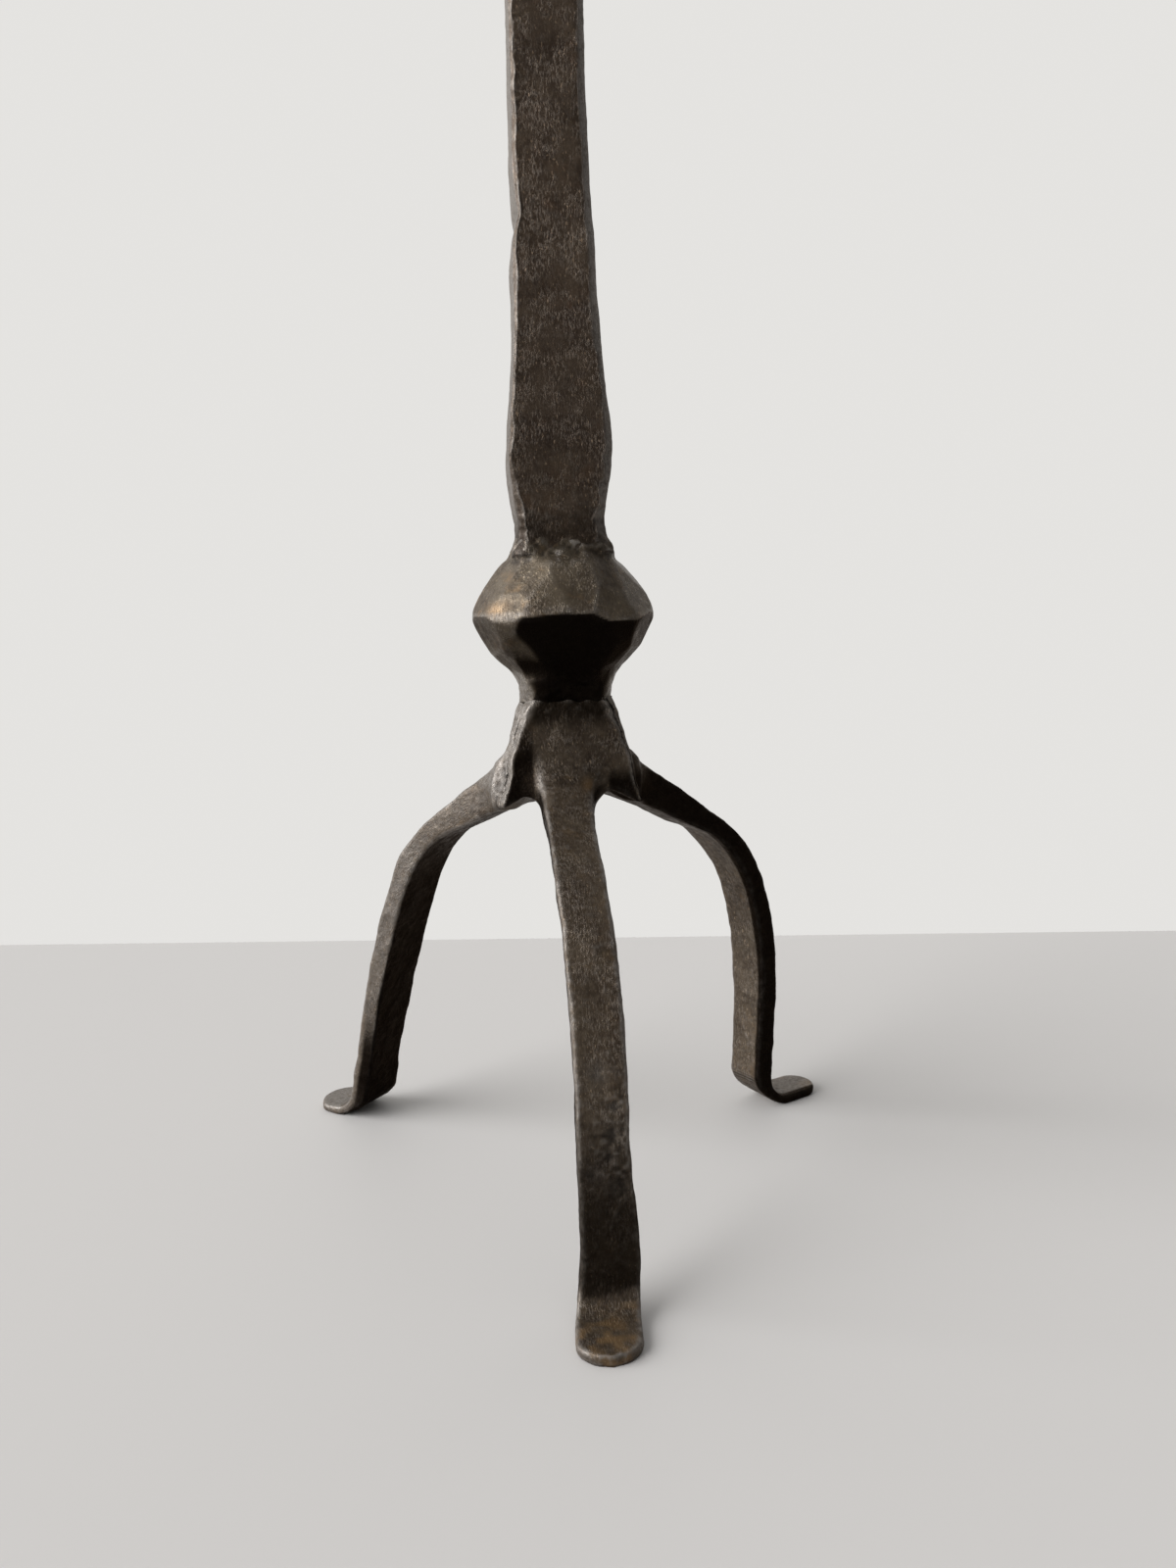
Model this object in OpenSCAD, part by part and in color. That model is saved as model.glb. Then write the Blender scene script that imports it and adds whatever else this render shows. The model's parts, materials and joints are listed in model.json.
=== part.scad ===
// Hand-forged iron candle holder on three legs, in millimetres.
// The front leg points along -Y, the stem stands along +Z and the feet rest on Z = 0.
// The origin is the middle of the footprint, so the stem stands a little behind it.

/* [Stem] */
// Length of the square bar between its two tenons
stem_len = 213; // [160:1:260]
// Width of the bar where it sits on the knop
waist_w = 22.4; // [18:0.1:26]
// Width of the bar at its thickest
belly_w = 26; // [20:0.1:32]
// Height of the thickest place above the knop
belly_h = 23; // [14:1:34]
// Width of the bar where the belly has run out
calf_w = 21; // [16:0.1:25]
// Height above the knop where the belly has run out
calf_h = 54; // [40:1:80]
// Width of the bar under the collar
stem_top_w = 14.5; // [11:0.1:18]
// Width of the hammered chamfer along the corners
stem_chamfer = 1.6; // [1:0.1:3]
// Width of that chamfer at the waist, where the corners are drawn in
waist_chamfer = 3.5; // [2:0.1:5]
// Turn of the square bar about its own axis
stem_turn = 0; // [-15:1:15]

/* [Tenons] */
// Diameter of the tenon that holds the knop and the legs
low_tenon_d = 12; // [8:0.5:16]
// Diameter of the tenon that holds the collar, the pan and the socket
top_tenon_d = 8; // [5:0.5:10]
// How far a peened tenon head stands out past its hole
head_over = 2.5; // [1:0.5:3]
// Height of a peened tenon head
head_h = 2.5; // [1.5:0.5:4]
// Room round the lower tenon's head, under the crown
head_room = 1; // [0.5:0.1:2]
// Clearance on the radius between a tenon and its hole
tenon_gap = 0.05; // [0.02:0.01:0.2]

/* [Knop] */
// Diameter of the knop at its ridge
knop_d = 45.2; // [36:0.2:54]
// Diameter of the necks above and below the knop
knop_neck_d = 24.2; // [20:0.2:28]
// Height of the rounded dome above the ridge
dome_h = 16.5; // [12:0.5:24]
// Height of the cone below the ridge
cone_h = 21; // [14:0.5:28]
// Number of hammered facets round the knop
knop_facets = 14; // [13:1:20]

/* [Crown] */
// Height of the top of the palms, where the knop sits
crown_z = 127.5; // [105:0.5:150]
// Distance from the axis to the flat face of a palm
palm_r = 9; // [8.5:0.1:12]
// Straight height of a palm above its outward bend
palm_h = 8; // [5:0.5:12]
// Width of a palm's face at its top
palm_top_w = 17.6; // [14:0.2:20]
// Width of a palm's face at the foot of its straight part
palm_w = 24.6; // [21:0.2:28]
// Width of the metal at the root of a leg
root_w = 26; // [22:0.5:32]
// How far a palm's sides slope out behind its face
palm_flare = 2; // [1.6:0.1:3]
// Radius of the outward bend below the palm
root_bend = 7; // [4:0.5:12]
// Thickness of the metal at the root of a leg
root_t = 10; // [9.5:0.5:14]
// Extra metal on each side of a leg, at the end of the fillet below its root
fillet_w = 3; // [1.5:0.5:5]
// Extra metal on each side of a leg, where the fillet has run out
throat_w = 0.8; // [0.2:0.2:2]
// Height of the flat underside of the crown below its top
crown_h = 22.5; // [20:0.5:28]
// Gap at the weld seam between two palms
seam = 0.1; // [0.02:0.02:0.3]

/* [Legs] */
// Direction of the left leg, counted from +X
left_angle = 145; // [135:1:160]
// Direction of the right leg, counted from +X
right_angle = 27; // [15:1:45]
// Slope of the arm below level, in degrees: front, left, right
arm_slope = [35.5, 35, 36]; // [25:0.5:45]
// Length of the straight arm: front, left, right
arm_len = [37, 33, 41]; // [24:1:50]
// Radius of the shoulder: front, left, right
shoulder_r = [45, 42, 48]; // [30:1:60]
// Slope of the shank below the shoulder: front, left, right
shank_slope = [70, 67, 73]; // [60:1:80]
// Length of the bowed upper shank: front, left, right
bow_len = [40, 45, 37]; // [20:1:50]
// Slope of the shank above the ankle: front, left, right
ankle_slope = [84, 76, 94]; // [70:1:96]
// Width of the bar: front, left, right
bar_w = [12, 16, 11]; // [9:0.5:18]
// Thickness of the bar: front, left, right
bar_t = [5, 4.6, 6]; // [3.5:0.1:8]
// Chamfer along the bar's edges
bar_chamfer = 0.8; // [0.4:0.1:1.2]

/* [Feet] */
// Radius of the bend at the ankle
ankle_r = 7; // [4:0.5:10]
// Thickness of the foot
foot_t = 2.5; // [1.8:0.1:4]
// Width of the foot: front, left, right
foot_w = [15.4, 15, 13]; // [11:0.1:19]
// Length of the foot from the ankle to its tip: front, left, right
foot_len = [10, 9, 10]; // [7:0.5:16]

/* [Pan and socket] */
// Diameter of the collar under the pan
collar_d = 24; // [18:0.5:32]
// Height of the collar
collar_h = 8; // [5:0.5:14]
// Depth to which the collar's edges are beaten off
collar_bevel = 2.8; // [1:0.1:3.5]
// Diameter of the drip pan over its rim
pan_d = 84; // [66:1:100]
// Diameter of the pan's flat floor
pan_floor_d = 54; // [40:1:60]
// Height of the drip pan's rim above its floor
pan_h = 8; // [5:0.5:14]
// Thickness of the drip pan
pan_t = 2; // [1.2:0.1:3]
// Diameter of the candle that the socket takes
candle_d = 22; // [18:0.5:25]
// Clearance between the candle and the socket, on the diameter
candle_gap = 0.8; // [0.3:0.1:1.5]
// Depth of the socket above the ledge that the candle stands on
socket_depth = 26; // [20:1:36]
// Thickness of the socket's wall
socket_wall = 1.8; // [1.4:0.1:3]
// Thickness of the socket's floor under the tenon head
socket_floor = 3; // [2:0.5:5]
// Clearance round and above the tenon head in its recess
recess_gap = 0.3; // [0.1:0.1:0.8]
// How far the socket's lip stands out past its wall
lip = 1.6; // [0.8:0.1:3]
// Height of the slope under the lip
lip_h = 2.4; // [1:0.1:4]
// Chamfer round the lip
lip_chamfer = 0.6; // [0.3:0.1:0.9]
// Chamfer round the socket's foot
socket_chamfer = 1; // [0.5:0.1:1.5]

/* [Hidden] */
$fn = 96;
iron = "#37322e";
worn_iron = "#4a443f";
eps = 0.01;
// How far a cutting solid runs past what it cuts
past = 1;

low_tenon_r = low_tenon_d / 2;
top_tenon_r = top_tenon_d / 2;
low_hole_r = low_tenon_r + tenon_gap;
top_hole_r = top_tenon_r + tenon_gap;

knop_top_z = crown_z + cone_h + dome_h;
stem_top_z = knop_top_z + stem_len;
collar_top_z = stem_top_z + collar_h;
pan_top_z = collar_top_z + pan_t;
floor_top_z = pan_top_z + socket_floor;
ledge_z = floor_top_z + head_h + recess_gap;
socket_top_z = ledge_z + socket_depth;
crown_base_z = crown_z - crown_h;
bore_r = (candle_d + candle_gap) / 2;
socket_r = bore_r + socket_wall;

// A value that leaves a and reaches b smoothly as f goes from 0 to 1
function ease(a, b, f) = a + (b - a) * (1 - cos(180 * f)) / 2;

// Triangles between rings of equal length, with both ends closed
function skin(rings, sides) = concat(
    [for (i = [0:rings - 2], j = [0:sides - 1])
        [i * sides + j, i * sides + (j + 1) % sides, (i + 1) * sides + (j + 1) % sides]],
    [for (i = [0:rings - 2], j = [0:sides - 1])
        [i * sides + j, (i + 1) * sides + (j + 1) % sides, (i + 1) * sides + j]],
    [[for (j = [sides - 1:-1:0]) j]],
    [[for (j = [0:sides - 1]) (rings - 1) * sides + j]]
);

function joined(rings) = [for (ring = rings) each ring];

module loft(rings) {
    faces = skin(len(rings), len(rings[0]));
    polyhedron(joined(rings), [for (f = faces) [for (k = [len(f) - 1:-1:0]) f[k]]]);
}

// The stem's square bar

function stem_width(h) =
    h < belly_h ? ease(waist_w, belly_w, h / belly_h)
    : h < calf_h ? ease(belly_w, calf_w, (h - belly_h) / (calf_h - belly_h))
    : calf_w + (stem_top_w - calf_w) * (h - calf_h) / (stem_len - calf_h);

function stem_corner(h) = h < belly_h ? ease(waist_chamfer, stem_chamfer, h / belly_h) : stem_chamfer;

function bar_ring(w, c, z) =
    let (a = w / 2, b = w / 2 - c)
    [[a, -b, z], [a, b, z], [b, a, z], [-b, a, z], [-a, b, z], [-a, -b, z], [-b, -a, z], [b, -a, z]];

belly_steps = 5;
stem_heights = concat(
    [for (i = [0:belly_steps - 1]) belly_h * i / belly_steps],
    [for (i = [0:belly_steps]) belly_h + (calf_h - belly_h) * i / belly_steps],
    [stem_len]
);

// Share of a peened head's height that is its straight edge
head_edge = 0.4;

module peened_head(r) {
    edge_h = head_h * head_edge;
    cylinder(h = edge_h, r = r + head_over);
    translate([0, 0, edge_h]) cylinder(h = head_h - edge_h, r1 = r + head_over, r2 = r);
}

module stem() {
    color(iron) on_axis() {
        translate([0, 0, knop_top_z]) rotate(stem_turn)
            loft([for (h = stem_heights) bar_ring(stem_width(h), stem_corner(h), h)]);
        translate([0, 0, crown_base_z]) cylinder(h = knop_top_z - crown_base_z + eps, r = low_tenon_r);
        translate([0, 0, crown_base_z]) mirror([0, 0, 1]) peened_head(low_tenon_r);
        translate([0, 0, stem_top_z - eps]) cylinder(h = floor_top_z - stem_top_z + eps, r = top_tenon_r);
        translate([0, 0, floor_top_z]) peened_head(top_tenon_r);
    }
}

// The knop, with a rounded dome above its ridge and a steeper cone below

function dome_fall(f) = cos(90 * f);
function cone_fall(f) = (cos(90 * f) + (1 + cos(180 * f)) / 2) / 2;

dome_steps = 5;
cone_steps = 6;
knop_rows = concat(
    [for (i = [cone_steps:-1:1]) [cone_h * (1 - i / cone_steps), cone_fall(i / cone_steps)]],
    [for (i = [0:dome_steps]) [cone_h + dome_h * i / dome_steps, dome_fall(i / dome_steps)]]
);

function knop_ring(row, index) =
    let (r = (knop_neck_d + (knop_d - knop_neck_d) * row[1]) / 2, turn = -index / 2)
    [for (j = [0:knop_facets - 1])
        let (a = 360 * (j + turn) / knop_facets) [r * cos(a), r * sin(a), row[0]]];

module knop() {
    color(iron) on_axis() translate([0, 0, crown_z]) difference() {
        loft([for (i = [0:len(knop_rows) - 1]) knop_ring(knop_rows[i], i)]);
        translate([0, 0, -past]) cylinder(h = cone_h + dome_h + 2 * past, r = low_hole_r);
    }
}

// A leg is drawn in its own plane. A place on it is [distance out, height, slope below level,
// half the face's width, thickness, flare of the sides].
// A move is [length, change of slope, then the last three values at its end].

// Straight distance between the ends of an arc
function chord(length, turn) = turn == 0 ? length : length * sin(turn / 2) / (turn / 2) * 180 / PI;

function moved(p, m) =
    let (slope = p[2] + m[1] / 2, d = chord(m[0], m[1]))
    [p[0] + d * cos(slope), p[1] - d * sin(slope), p[2] + m[1], m[2], m[3], m[4]];

function mixed(a, b, f) = a + (b - a) * f;

// One move cut into equal short ones, so that a bend is round
function stretch(p, m, steps) = steps == 0 ? [] :
    let (
        part = [m[0] / steps, m[1] / steps, mixed(p[3], m[2], 1 / steps),
            mixed(p[4], m[3], 1 / steps), mixed(p[5], m[4], 1 / steps)],
        q = moved(p, part)
    )
    concat([q], stretch(q, [m[0] - part[0], m[1] - part[1], m[2], m[3], m[4]], steps - 1));

function last(list) = list[len(list) - 1];
function arc_len(r, turn) = r * abs(turn) * PI / 180;

// Share of a palm's widening that its upper half takes
corner_share = 0.6;
// Along an arm: the share of its length at which the fillet, the throat and the thick part end,
// and how far each has thinned from the root's thickness to the bar's
fillet_end = [0.1, 0.1];
throat_end = [0.25, 0.3];
thick_end = [0.5, 0.6];
// Slope of a palm's sides behind its face, in degrees
flare_slope = 60;
// Chamfer of a foot's edge, and thickness in the middle of the ankle, as shares of its thickness
foot_edge = 0.2;
ankle_swell = 1.2;
// Length of the rounded toe, as a share of the foot's width, and where on its arc the last ring is
toe_share = 1 / 3;
toe_end = 84;
bend_steps = 4;
shoulder_steps = 6;
toe_steps = 5;

function thinned(k, stage) = mixed(root_t, bar_t[k], stage[1]);

function leg_path(k) =
    let (
        half = bar_w[k] / 2 - bar_chamfer,
        foot_half = foot_w[k] / 2 - bar_chamfer,
        root_turn = arm_slope[k] - 90,
        top = [palm_r, crown_z, 90, palm_top_w / 2, palm_r - eps, palm_flare],
        palm_corner = stretch(top,
            [palm_h / 2, 0, mixed(palm_top_w, palm_w, corner_share) / 2, palm_r - eps, palm_flare], 1),
        palm = stretch(last(palm_corner), [palm_h / 2, 0, palm_w / 2, palm_r - eps, palm_flare], 1),
        bend = stretch(last(palm),
            [arc_len(root_bend, root_turn), root_turn, root_w / 2, root_t, palm_flare], bend_steps),
        fillet = stretch(last(bend),
            [arm_len[k] * fillet_end[0], 0, half + fillet_w, thinned(k, fillet_end),
                (palm_flare + bar_chamfer) / 2], 1),
        throat = stretch(last(fillet),
            [arm_len[k] * (throat_end[0] - fillet_end[0]), 0, half + throat_w, thinned(k, throat_end),
                bar_chamfer], 2),
        arm = stretch(last(throat),
            [arm_len[k] * (thick_end[0] - throat_end[0]), 0, half, thinned(k, thick_end), bar_chamfer], 1),
        arm_end = stretch(last(arm), [arm_len[k] * (1 - thick_end[0]), 0, half, bar_t[k], bar_chamfer], 2),
        turn = shank_slope[k] - arm_slope[k],
        shoulder = stretch(last(arm_end),
            [arc_len(shoulder_r[k], turn), turn, half, bar_t[k], bar_chamfer], shoulder_steps),
        bow = stretch(last(shoulder),
            [bow_len[k], ankle_slope[k] - shank_slope[k], half, bar_t[k], bar_chamfer], bend_steps),
        ankle_drop = ankle_r * (1 - cos(ankle_slope[k])),
        shank_len = (last(bow)[1] - foot_t - ankle_drop) / sin(ankle_slope[k]),
        shank = stretch(last(bow), [shank_len, 0, (half + foot_half) / 2, bar_t[k], bar_chamfer], 2),
        half_ankle = [arc_len(ankle_r, ankle_slope[k] / 2), -ankle_slope[k] / 2],
        upper_ankle = stretch(last(shank),
            concat(half_ankle, [foot_half, foot_t * ankle_swell, foot_t * foot_edge]), 3),
        ankle = stretch(last(upper_ankle), concat(half_ankle, [foot_half, foot_t, foot_t * foot_edge]), 3),
        toe = foot_w[k] * toe_share,
        sole = stretch(last(ankle), [foot_len[k] - toe, 0, foot_half, foot_t, foot_t * foot_edge], 1),
        toe_start = last(sole)[0]
    )
    concat([top], palm_corner, palm, bend, fillet, throat, arm, arm_end, shoulder, bow, shank,
        upper_ankle, ankle, sole,
        [for (i = [1:toe_steps])
            let (f = sin(toe_end * i / toe_steps))
            [toe_start + toe * f, foot_t, 0, foot_half * sqrt(1 - f * f), foot_t, foot_t * foot_edge]]);

function leg_ring(p) =
    let (
        wide = p[3] + p[5],
        edge = min(p[5], bar_chamfer),
        deep = min(p[5] * tan(flare_slope), p[4] / 2),
        outline = [
            [p[3], 0], [-p[3], 0], [-wide, deep], [-wide, p[4] - edge / 2],
            [edge - wide, p[4]], [wide - edge, p[4]], [wide, p[4] - edge / 2], [wide, deep]
        ]
    )
    [for (q = outline) [p[0] - q[1] * sin(p[2]), q[0], p[1] - q[1] * cos(p[2])]];

leg_angle = [-90, left_angle, right_angle];
leg_before = [left_angle - 360, right_angle, -90];
leg_after = [right_angle, 270, left_angle];

function leg_reach(k) = last(leg_path(k))[0];

// How far a foot reaches from the axis along a level direction; its round tip takes some width off
tip_share = 0.55;
function foot_reach(k, direction) =
    let (turn = leg_angle[k] - direction)
    leg_reach(k) * cos(turn) + tip_share * foot_w[k] / 2 * abs(sin(turn));

// The footprint's middle is the origin
stem_x = (foot_reach(1, 180) - foot_reach(2, 0)) / 2;
stem_y = (foot_reach(0, -90) - max(foot_reach(1, 90), foot_reach(2, 90))) / 2;

module on_axis() {
    translate([stem_x, stem_y, 0]) children();
}

// The sector round the axis that belongs to one leg, halfway to each neighbour
module sector(k) {
    from = (leg_angle[k] + leg_before[k]) / 2;
    to = (leg_angle[k] + leg_after[k]) / 2;
    far = 2 * max([for (i = [0:2]) leg_reach(i)]);
    near = seam / 2 / sin((to - from) / 2);
    middle = (from + to) / 2;
    translate([near * cos(middle), near * sin(middle), -past])
        linear_extrude(height = crown_z + 2 * past)
            polygon([[0, 0], far * [cos(from), sin(from)], 2 * far * [cos(middle), sin(middle)],
                far * [cos(to), sin(to)]]);
}

module leg(k) {
    on_axis() difference() {
        intersection() {
            rotate(leg_angle[k]) loft([for (p = leg_path(k)) leg_ring(p)]);
            sector(k);
        }
        translate([0, 0, crown_base_z - root_t]) {
            cylinder(h = root_t + crown_h + past, r = low_hole_r);
            cylinder(h = root_t, r = low_tenon_r + head_over + head_room);
        }
    }
}

module leg_front() { color(iron) leg(0); }
module leg_left() { color(iron) leg(1); }
module leg_right() { color(iron) leg(2); }

// The collar, the drip pan and the socket are round pieces on the top tenon

module pan_collar() {
    color(iron) on_axis() translate([0, 0, stem_top_z]) rotate_extrude()
        polygon([[top_hole_r, 0], [collar_d / 2 - collar_bevel, 0], [collar_d / 2, collar_bevel],
            [collar_d / 2, collar_h - collar_bevel], [collar_d / 2 - collar_bevel, collar_h],
            [top_hole_r, collar_h]]);
}

pan_steps = 6;

// Under side of the pan: a flat floor, then a curve up to the rim
function pan_curve(r, floor_r) = [for (i = [0:pan_steps])
    let (a = 90 * i / pan_steps)
    [floor_r + (r - floor_r) * sin(a), (pan_h - pan_t / 2) * (1 - cos(a))]];

module drip_pan() {
    floor_r = pan_floor_d / 2;
    under = pan_curve(pan_d / 2, floor_r);
    over = [for (p = pan_curve(pan_d / 2 - pan_t, floor_r)) p + [0, pan_t]];
    color(worn_iron) on_axis() translate([0, 0, collar_top_z]) rotate_extrude()
        polygon(concat([[top_hole_r, 0]], under,
            [for (i = [pan_steps:-1:0]) over[i]], [[top_hole_r, pan_t]]));
}

module candle_socket() {
    height = socket_top_z - pan_top_z;
    color(iron) on_axis() translate([0, 0, pan_top_z]) difference() {
        rotate_extrude()
            polygon([[0, 0], [socket_r - socket_chamfer, 0], [socket_r, socket_chamfer],
                [socket_r, height - 2 * lip_h], [socket_r + lip, height - lip_h],
                [socket_r + lip, height - lip_chamfer],
                [socket_r + lip - lip_chamfer, height], [0, height]]);
        translate([0, 0, ledge_z - pan_top_z]) cylinder(h = height, r = bore_r);
        translate([0, 0, socket_floor]) cylinder(h = height, r = top_tenon_r + head_over + recess_gap);
        translate([0, 0, -past]) cylinder(h = socket_floor + 2 * past, r = top_hole_r);
    }
}

stem();
knop();
leg_front();
leg_left();
leg_right();
pan_collar();
drip_pan();
candle_socket();
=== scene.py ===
"""Looks of a hand-forged iron candle holder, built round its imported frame.

Shapes are drawn in millimetres from the stem's axis, with the front leg along -Y,
and are moved into the frame, in metres, when their mesh is made.
"""

import itertools
import json
import math

import bpy
import numpy as np
from mathutils import Matrix, Vector


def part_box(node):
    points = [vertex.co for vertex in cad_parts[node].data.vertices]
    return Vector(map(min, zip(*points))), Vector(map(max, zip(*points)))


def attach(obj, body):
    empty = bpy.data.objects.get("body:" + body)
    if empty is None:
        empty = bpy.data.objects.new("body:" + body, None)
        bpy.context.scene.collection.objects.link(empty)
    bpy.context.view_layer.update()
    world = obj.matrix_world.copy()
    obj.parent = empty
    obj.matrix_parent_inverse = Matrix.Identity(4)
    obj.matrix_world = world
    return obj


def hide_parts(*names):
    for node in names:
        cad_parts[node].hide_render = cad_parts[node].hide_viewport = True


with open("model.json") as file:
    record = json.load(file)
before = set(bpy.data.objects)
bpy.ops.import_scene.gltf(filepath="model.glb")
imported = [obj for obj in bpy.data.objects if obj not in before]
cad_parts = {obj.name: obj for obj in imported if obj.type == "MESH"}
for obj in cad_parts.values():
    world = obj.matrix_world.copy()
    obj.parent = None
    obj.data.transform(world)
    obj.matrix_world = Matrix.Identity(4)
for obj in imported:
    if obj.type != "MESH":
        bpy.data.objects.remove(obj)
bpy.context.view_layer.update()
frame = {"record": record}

# Sizes and places read from the frame, in millimetres

MM = 0.001
mounts = {mount["name"]: mount for mount in frame["record"]["mounts"]}
AXIS = np.array([*mounts["candle_socket"]["pos_m"][:2], 0.0]) / MM
BORE_R = mounts["candle_socket"]["dims"]["r_mm"]
BORE_LEN = mounts["candle_socket"]["dims"]["length_mm"]


def low(node):
    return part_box(node)[0].z / MM


def high(node):
    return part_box(node)[1].z / MM


def radius(node):
    return (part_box(node)[1].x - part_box(node)[0].x) / 2 / MM


CROWN_Z = low("knop")
KNOP_Z = high("knop")
COLLAR_Z = low("pan_collar")
PAN_Z = high("pan_collar")
SOCKET_Z = low("candle_socket")
TOP_Z = high("candle_socket")
HEAD_Z = low("stem")
COLLAR_R = radius("pan_collar")
PAN_R = radius("drip_pan")
LIP_R = radius("candle_socket")


# Noise, curves and dents

def lattice(cell, seed):
    """A repeatable value from 0 to 1 for every whole-number cell."""
    x, y, z = (cell[..., i].astype(np.int64).astype(np.uint32) for i in range(3))
    mix = x * np.uint32(374761393) + y * np.uint32(668265263) + z * np.uint32(2246822519)
    mix = mix + np.uint32(seed * 3266489917 % 2**32)
    mix = (mix ^ (mix >> np.uint32(15))) * np.uint32(2246822519)
    mix = (mix ^ (mix >> np.uint32(13))) * np.uint32(3266489917)
    return (mix ^ (mix >> np.uint32(16))) / 2.0**32


def noise(points, size, seed):
    """Smooth noise from -1 to 1 whose lumps are about size across."""
    place = points / size
    cell = np.floor(place)
    part = place - cell
    part = part * part * (3 - 2 * part)
    total = np.zeros(points.shape[:-1])
    for corner in itertools.product((0, 1), repeat=3):
        share = np.prod(np.where(np.array(corner) == 1, part, 1 - part), axis=-1)
        total += share * lattice(cell + np.array(corner), seed)
    return total * 2 - 1


def wobble(values, size, seed):
    """Noise along one line of numbers."""
    values = np.asarray(values, float)
    return noise(np.stack([values, values * 0, values * 0], -1) + 0.5, size, seed)


def curve(knots, place):
    """Smooth curve through (place, value) knots."""
    xs, ys = np.array(knots, float).T
    slopes = np.gradient(ys, xs)
    i = np.clip(np.searchsorted(xs, place) - 1, 0, len(xs) - 2)
    gap = xs[i + 1] - xs[i]
    t = np.clip((place - xs[i]) / gap, 0, 1)
    u = 1 - t
    start = ys[i] * (1 + 2 * t) * u * u + slopes[i] * gap * t * u * u
    return start + ys[i + 1] * (3 - 2 * t) * t * t - slopes[i + 1] * gap * t * t * u


def smooth(low_end, high_end, value):
    t = np.clip((value - low_end) / (high_end - low_end), 0, 1)
    return t * t * (3 - 2 * t)


def strikes(points, count, seed):
    """Places on the surface where the hammer struck."""
    flat = points.reshape(-1, 3)
    return flat[np.random.default_rng(seed).integers(0, len(flat), count)]


def planished(points, centres, size, depth):
    """Depth of overlapping shallow bowls, with a ridge where two of them meet."""
    flat = points.reshape(-1, 3)
    result = np.zeros(len(flat))
    for index, centre in enumerate(centres):
        reach = size * (0.75 + 0.5 * lattice(np.array([[index, 7, 1]]), 3)[0])
        near = np.abs(flat - centre).max(1) < reach
        gap = ((flat[near] - centre) ** 2).sum(1) / reach**2
        bowl = -depth * np.clip(1 - gap, 0, 1)
        result[near] = np.minimum(result[near], bowl)
    return result.reshape(points.shape[:-1])


# Meshes, from rings of points or from a field of distances

def normals(points, faces):
    a, b, c, d = (points[faces[:, i]] for i in range(4))
    face = np.cross(c - a, d - b)
    total = np.zeros_like(points)
    for i in range(4):
        for axis in range(3):
            total[:, axis] += np.bincount(faces[:, i], face[:, axis], len(points))
    return total / np.maximum(np.linalg.norm(total, axis=1, keepdims=True), 1e-9)


def rings_shape(grid, wrap=False):
    """Points, faces and end caps of a tube of rings, with its faces turned outward."""
    rows, columns = grid.shape[:2]
    row = np.arange(rows if wrap else rows - 1)[:, None]
    column = np.arange(columns)[None, :]
    after, beside = (row + 1) % rows, (column + 1) % columns
    corners = [row * columns + column, row * columns + beside,
               after * columns + beside, after * columns + column]
    faces = np.stack(np.broadcast_arrays(*corners), -1).reshape(-1, 4)
    points = grid.reshape(-1, 3)
    a, b, c, d = (points[faces[:, i]] for i in range(4))
    inside_out = (a * np.cross(b, c)).sum() + (a * np.cross(c, d)).sum() < 0
    caps = []
    if not wrap:
        first, final = list(range(columns)), list(range((rows - 1) * columns, rows * columns))
        caps = [first, final[::-1]] if inside_out else [first[::-1], final]
    return points, faces[:, ::-1] if inside_out else faces, caps


def nets(field, start, step):
    """Points and faces where a grid of signed distances is zero, by surface nets."""
    inside = field < 0
    corners = list(itertools.product((0, 1), repeat=3))
    count = np.zeros([n - 1 for n in field.shape], np.int8)
    for corner in corners:
        count += inside[tuple(slice(o, n - 1 + o) for o, n in zip(corner, field.shape))]
    active = (count > 0) & (count < 8)
    cells = np.argwhere(active)
    number = np.full(active.shape, -1)
    number[active] = np.arange(len(cells))
    values = {corner: field[tuple((cells + corner).T)] for corner in corners}
    total, crossings = np.zeros((len(cells), 3)), np.zeros(len(cells))
    for here, there in itertools.combinations(corners, 2):
        way = np.subtract(there, here)
        if np.abs(way).sum() == 1:
            crossed = (values[here] < 0) != (values[there] < 0)
            share = np.where(crossed, values[here] / np.where(crossed, values[here] - values[there], 1), 0)
            total += crossed[:, None] * (here + share[:, None] * way)
            crossings += crossed
    points = (cells + total / crossings[:, None]) * step + start
    faces = []
    for axis in range(3):
        first, second = (inside[tuple(slice(o, field.shape[i] - 1 + o) if i == axis else slice(1, -1)
                                      for i in range(3))] for o in (0, 1))
        edges = np.argwhere(first != second)
        corner = edges + [0 if i == axis else 1 for i in range(3)]
        beside, above = [i for i in range(3) if i != axis]
        quad = []
        for down in ((1, 1), (0, 1), (0, 0), (1, 0)):
            cell = corner.copy()
            cell[:, beside] -= down[0]
            cell[:, above] -= down[1]
            quad.append(number[tuple(cell.T)])
        quad = np.stack(quad, 1)
        turned = first[tuple(edges.T)] == (axis == 1)
        quad[turned] = quad[turned][:, ::-1]
        faces.append(quad)
    return points, np.concatenate(faces)


def neighbour_mean(faces, values, points):
    """Mean over each point's edges of what values(here, there) gives for an edge."""
    here = np.concatenate([faces, np.roll(faces, -1, 1)]).reshape(-1)
    there = np.concatenate([np.roll(faces, -1, 1), faces]).reshape(-1)
    return np.bincount(here, values(here, there), points) / np.maximum(np.bincount(here, minlength=points), 1)


def convexity(points, faces, normal):
    """How convex the surface is at each point, per millimetre."""
    def bend(here, there):
        step = points[there] - points[here]
        return -4 * (step * normal[here]).sum(1) / np.maximum((step**2).sum(1), 0.01)

    raw = np.clip(neighbour_mean(faces, bend, len(points)), -4, 4)
    return 0.5 * raw + 0.5 * neighbour_mean(faces, lambda here, there: raw[there], len(points))


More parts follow.
